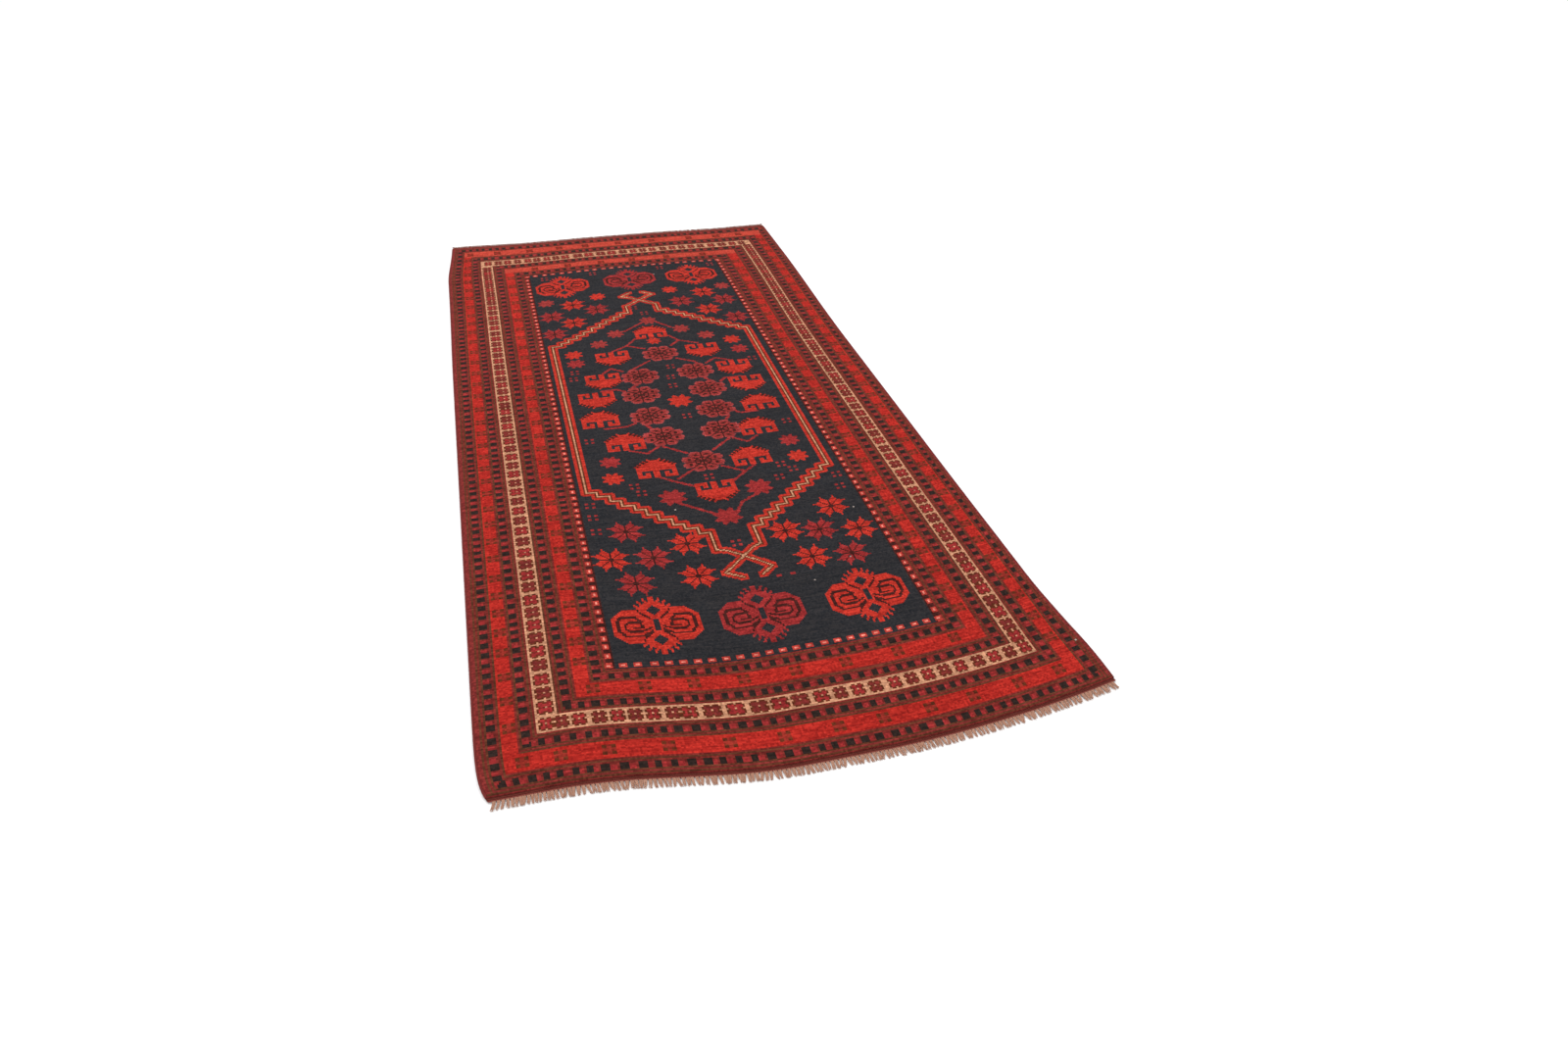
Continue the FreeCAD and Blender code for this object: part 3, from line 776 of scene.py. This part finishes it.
corner_u, corner_v = np.meshgrid(np.arange(COLS + 1), np.arange(ROWS + 1))
flat_x = (corner_u - COLS / 2) * KNOT
flat_y = (corner_v - ROWS / 2) * KNOT
uneven = rng.normal(0, 0.00012, flat_x.shape)
top_z = PILE_TOP - 0.0003 + uneven
rim = (corner_u == 0) | (corner_u == COLS) | (corner_v == 0) | (corner_v == ROWS)
top_z[rim] -= 0.0012
TOP = np.stack(rest(flat_x, flat_y, top_z), -1)
BACK = np.stack(rest(flat_x, flat_y, 0.0002 + abs(uneven)), -1)


def knots(name, mask, grid, wools, flip=False, skirt=None):
    """One quad to each knot of the mask, with a material for each yarn in it.

    skirt is how low to take the rug's own rim.
    """
    rows, cols = np.nonzero(mask)
    corners = [(rows, cols), (rows, cols + 1), (rows + 1, cols + 1), (rows + 1, cols)]
    faces = np.stack([r * (COLS + 1) + c for r, c in corners], -1)
    if flip:
        faces = faces[:, ::-1]
    yarns = chart[rows, cols]
    used = np.unique(yarns)
    slots = np.searchsorted(used, yarns)
    points = grid.reshape(-1, 3)
    weave = np.stack([corner_u, corner_v, np.zeros_like(corner_u)], -1).reshape(-1, 3).astype(float)
    if skirt is not None:
        loop = [(0, c) for c in range(COLS)] + [(r, COLS) for r in range(ROWS)]
        loop += [(ROWS, c) for c in range(COLS, 0, -1)] + [(r, 0) for r in range(ROWS, 0, -1)]
        ring = np.array([r * (COLS + 1) + c for r, c in loop])
        out = np.array([((c > 0) * 2 - 1) * (c in (0, COLS)) for r, c in loop])
        up = np.array([((r > 0) * 2 - 1) * (r in (0, ROWS)) for r, c in loop])
        bulge, first = [], len(points)
        for step, (push, low) in enumerate(((0.0009, 0.0018), (0.0007, skirt)), 1):
            lower = points[ring].copy()
            lower[:, 0] += push * out
            lower[:, 1] += push * up
            lower[:, 2] -= low
            bulge.append(lower)
            shift = np.stack([out, up, np.zeros(len(out))], -1) * step * 0.5
            weave = np.concatenate([weave, weave[ring] + shift])
        points = np.concatenate([points, *bulge])
        n = len(ring)
        rings = [ring, first + np.arange(n), first + n + np.arange(n)]
        for a, b in zip(rings, rings[1:], strict=False):
            wall = np.stack([a, b, np.roll(b, -1), np.roll(a, -1)], -1)
            faces = np.concatenate([faces, wall])
            slots = np.concatenate([slots, np.zeros(n, int)])
    kept, index = np.unique(faces, return_inverse=True)
    names = list(YARNS)
    return mesh_object(
        name,
        points[kept],
        index.reshape(faces.shape),
        weave[kept],
        [wools[names[i]] for i in used],
        slots,
    )


def tubes(name, lines, radii, materials, sides=6, squash=1.0, ridge=None):
    """Round strands along lines[strand, point]; ridge(along, turn) swells them."""
    count, length, _ = lines.shape
    run = np.gradient(lines, axis=1)
    run /= np.linalg.norm(run, axis=2, keepdims=True)
    across = np.cross(run, (0, 0, 1.0))
    across /= np.maximum(np.linalg.norm(across, axis=2, keepdims=True), 1e-9)
    over = np.cross(across, run)
    steps = np.linalg.norm(np.diff(lines, axis=1), axis=2)
    along = np.concatenate([np.zeros((count, 1)), np.cumsum(steps, 1)], 1)
    turn = np.arange(sides) / sides
    angle = turn * math.tau
    size = np.broadcast_to(radii, (count, length))[:, :, None] * np.ones(sides)
    if ridge is not None:
        size = size + ridge(along[:, :, None], turn)
    points = (
        lines[:, :, None]
        + (size * np.cos(angle))[..., None] * across[:, :, None]
        + (size * squash * np.sin(angle))[..., None] * over[:, :, None]
    )
    strand = np.broadcast_to(np.arange(count)[:, None, None], size.shape)
    weave = np.stack(
        [np.broadcast_to(along[:, :, None], size.shape), np.broadcast_to(turn, size.shape), strand], -1
    )
    index = np.arange(count * length * sides).reshape(count, length, sides)
    here, there = index[:, :-1], index[:, 1:]
    faces = np.stack([here, there, np.roll(there, -1, 2), np.roll(here, -1, 2)], -1).reshape(-1, 4)
    caps = zip(index[:, 0], index[:, -1], strict=True)
    ends = [ring.tolist() for first, last in caps for ring in (first, last[::-1])]
    every = faces.tolist() + ends
    return mesh_object(name, points.reshape(-1, 3), every, weave.reshape(-1, 3), materials)


def slab(name, xs, ys, low, high, materials):
    """A closed thin sheet over this grid; high is its top at each grid point."""
    x, y = np.meshgrid(xs, ys)
    rows, cols = x.shape
    top = np.stack(rest(x, y, high), -1).reshape(-1, 3)
    foot = np.stack(rest(x, y, low), -1).reshape(-1, 3)
    index = np.arange(rows * cols).reshape(rows, cols)
    sheet = np.stack([index[:-1, :-1], index[:-1, 1:], index[1:, 1:], index[1:, :-1]], -1).reshape(-1, 4)
    loop = np.concatenate([index[0, :-1], index[:-1, -1], index[-1, :0:-1], index[:0:-1, 0]])
    under = rows * cols
    wall = np.stack([loop, loop + under, np.roll(loop, -1) + under, np.roll(loop, -1)], -1)
    faces = np.concatenate([sheet, sheet[:, ::-1] + under, wall])
    weave = np.stack([x.ravel() * 1000, y.ravel() * 1000, np.zeros(x.size)], -1)
    return mesh_object(name, np.concatenate([top, foot]), faces, np.concatenate([weave, weave]), materials)


def made(piece, slot_name, *nodes):
    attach(piece, "root")
    if nodes:
        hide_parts(*nodes)
    return piece


# ---- the pile, one piece for each band and one for the field

BAND_SLOTS = {
    "outer_red_band": "red_pile",
    "inner_red_band": "red_pile",
    "cream_band": "cream_pile",
    "bead_stripe": "bead_pile",
}
for k, (band, _, _) in enumerate(BANDS):
    piece = knots(f"{band}_pile", region == k, TOP, pile_wool, skirt=0.0038 if k == 0 else None)
    made(piece, BAND_SLOTS.get(band, "maroon_pile"), f"pile_{band}")
piece = knots("field_pile", region == FIELD, TOP, pile_wool)
field_nodes = [
    "pile_field", "pile_medallion_line", "pile_spiral_medallions", "pile_palmettes",
    "pile_split_stars", "pile_small_stars", "pile_rosettes", "pile_stems", "pile_florets",
]
made(piece, "navy_pile", *field_nodes)

at_sides = (region < FIELD) & (end_band == FIELD)
for name, mask in (
    ("field_knot_backs", region == FIELD),
    ("side_knot_backs", at_sides),
    ("end_knot_backs", (region < FIELD) & ~at_sides),
):
    made(knots(name, mask, BACK, back_wool, flip=True), "ground_wool")

# ---- the ground weave

ground = slab(
    "ground_sheet",
    np.linspace(-HALF_WIDTH, HALF_WIDTH, 61),
    np.linspace(-HALF_LENGTH, HALF_LENGTH, 130),
    WEAVE_FOOT,
    WEAVE_TOP,
    [ground_weave],
)
made(ground, "ground_wool", "foundation")

# ---- the selvedges: yarn wrapped round and round the outer warps

edge_y = np.linspace(-HALF_LENGTH - 0.001, HALF_LENGTH + 0.001, 2581)
for side, name in ((-1, "left"), (1, "right")):
    centre = np.stack(rest(side * (HALF_WIDTH + 0.0022) + 0 * edge_y, edge_y, 0.0031), -1)[None]
    rope = tubes(
        f"{name}_selvedge",
        centre,
        0.0025,
        [selvedge_yarn],
        sides=12,
        squash=1.12,
        ridge=lambda along, turn: 0.00028 * np.sin(math.tau * (along / 0.0042 + turn)),
    )
    made(rope, "selvedge_wool", f"selvedge_{name}")

# ---- the flat-woven ends, their locking rows and the fringe

# how far the flat weave and its locking row run past the pile's sides
OVERHANG = 0.004
FRONT_WEAVE, BACK_WEAVE = 0.007, 0.017
RIB, PLY_TURN = 0.0015, 0.008
TASSELS, TASSEL_PITCH, FRINGE_REACH = 150, 0.008, 0.0205
STRANDS, STRAND_GAP, STRAND_POINTS = 7, 0.0008, 7

for end, name, length in ((-1, "front", FRONT_WEAVE), (1, "back", BACK_WEAVE)):
    inner, outer = end * HALF_LENGTH, end * (HALF_LENGTH + length)
    xs = np.linspace(-HALF_WIDTH - OVERHANG, HALF_WIDTH + OVERHANG, 405)
    ys = np.linspace(min(inner, outer), max(inner, outer), 33)
    xx, yy = np.meshgrid(xs, ys)
    ribs = 0.00022 * np.sin((yy - inner) * math.tau / RIB) + 0.00012 * np.sin(xx * math.tau / KNOT)
    piece = slab(f"{name}_flat_weave", xs, ys, 0.0003, WEAVE_TOP + ribs, [end_weave])
    made(piece, "flat_weave_wool", f"flat_weave_{name}")

    x = np.linspace(-HALF_WIDTH - OVERHANG, HALF_WIDTH + OVERHANG, 1215)
    pair = []
    for phase in (0, math.pi):
        swing = x * math.tau / PLY_TURN + phase
        y = outer + end * 0.0014 + 0.0007 * np.cos(swing)
        pair.append(np.stack(rest(x, y, 0.0017 + 0.0007 * np.sin(swing)), -1))
    piece = tubes(f"{name}_lock_row", np.array(pair), 0.0008, [lock_yarn], sides=7)
    made(piece, "lock_row_wool", f"lock_row_{name}")

    t = np.linspace(0, 1, STRAND_POINTS)
    lines, radii = [], []
    for tassel in range(TASSELS):
        middle = (tassel - (TASSELS - 1) / 2) * TASSEL_PITCH + rng.uniform(-0.0006, 0.0006)
        # the tassels at the corners splay outwards
        splay = math.copysign(0.008, middle) * ease((abs(middle) - 0.57) / 0.03)
        lean = rng.normal(0, 0.0018) + splay
        for strand in range(STRANDS):
            offset = (strand - (STRANDS - 1) / 2) * STRAND_GAP
            fan = rng.normal(0, 0.0009) - offset * 0.3
            reach = FRINGE_REACH * rng.uniform(0.8, 1.0)
            curl = rng.normal(0, 0.0006)
            px = middle + offset + (lean + fan) * t ** 1.6 + curl * np.sin(t * math.pi * 1.5)
            py = outer + end * (0.0018 + reach * t)
            pz = 0.0016 - 0.0006 * t + abs(rng.normal(0, 0.0007)) * np.sin(t * math.pi)
            lines.append(np.stack(rest(px, py, pz), -1))
            radii.append(np.interp(t, (0, 0.7, 1), (0.0009, 0.0008, 0.0004)))
    piece = tubes(f"{name}_fringe", np.array(lines), np.array(radii), [warp_yarn[name]], sides=5)
    made(piece, "warp_ends", f"fringe_{name}")

# ---------------------------------------------------------------- floor, light, camera

floor_paint = Shader("studio_floor")
floor = bpy.data.meshes.new("studio_floor")
FLOOR = 30
floor_corners = [(-FLOOR, -FLOOR, 0), (FLOOR, -FLOOR, 0), (FLOOR, FLOOR, 0), (-FLOOR, FLOOR, 0)]
floor.from_pydata(floor_corners, [], [(0, 1, 2, 3)])
floor.materials.append(floor_paint.material)
floor_paint.surface.inputs["Base Color"].default_value = (0.9, 0.9, 0.9, 1)
floor_paint.surface.inputs["Roughness"].default_value = 0.9
floor_object = bpy.data.objects.new("studio_floor", floor)
bpy.context.collection.objects.link(floor_object)

scene = bpy.context.scene
scene.view_settings.view_transform = "Standard"
world = bpy.data.worlds.new("studio_air")
world.use_nodes = True
world.node_tree.nodes["Background"].inputs["Color"].default_value = (1, 1, 1, 1)
world.node_tree.nodes["Background"].inputs["Strength"].default_value = 1.12
scene.world = world


def lamp(name, place, aim, size, power):
    light = bpy.data.lights.new(name, "AREA")
    light.shape = "DISK"
    light.size = size
    light.energy = power
    holder = bpy.data.objects.new(name, light)
    bpy.context.collection.objects.link(holder)
    holder.location = place
    direction = np.array(aim, float) - np.array(place, float)
    holder.rotation_euler = Vector(direction).to_track_quat("-Z", "Y").to_euler()


lamp("soft_key", (-1.5, 1.8, 4.0), (0, 0, 0), 2.5, 65)
lamp("soft_fill", (2.5, -1.5, 4.0), (0, 0, 0), 3.0, 12)

FOCAL_LENGTH, SENSOR_WIDTH = 22.39, 36.0
CAMERA_PLACE = (-0.446, -2.365, 1.3865)
azimuth, elevation, roll = (math.radians(angle) for angle in (17.925, 36.729, -2.352))
level = math.cos(elevation)
forward = np.array([math.sin(azimuth) * level, math.cos(azimuth) * level, -math.sin(elevation)])
right = np.array([math.cos(azimuth), -math.sin(azimuth), 0.0])
down = np.cross(forward, right)
right, down = (
    math.cos(roll) * right + math.sin(roll) * down,
    -math.sin(roll) * right + math.cos(roll) * down,
)
camera_data = bpy.data.cameras.new("camera")
camera_data.lens = FOCAL_LENGTH
camera_data.sensor_width = SENSOR_WIDTH
camera_data.clip_start = 0.01
camera = bpy.data.objects.new("camera", camera_data)
bpy.context.collection.objects.link(camera)
axes = Matrix([[right[i], -down[i], -forward[i]] for i in range(3)]).to_4x4()
axes.translation = CAMERA_PLACE
camera.matrix_world = axes
scene.camera = camera
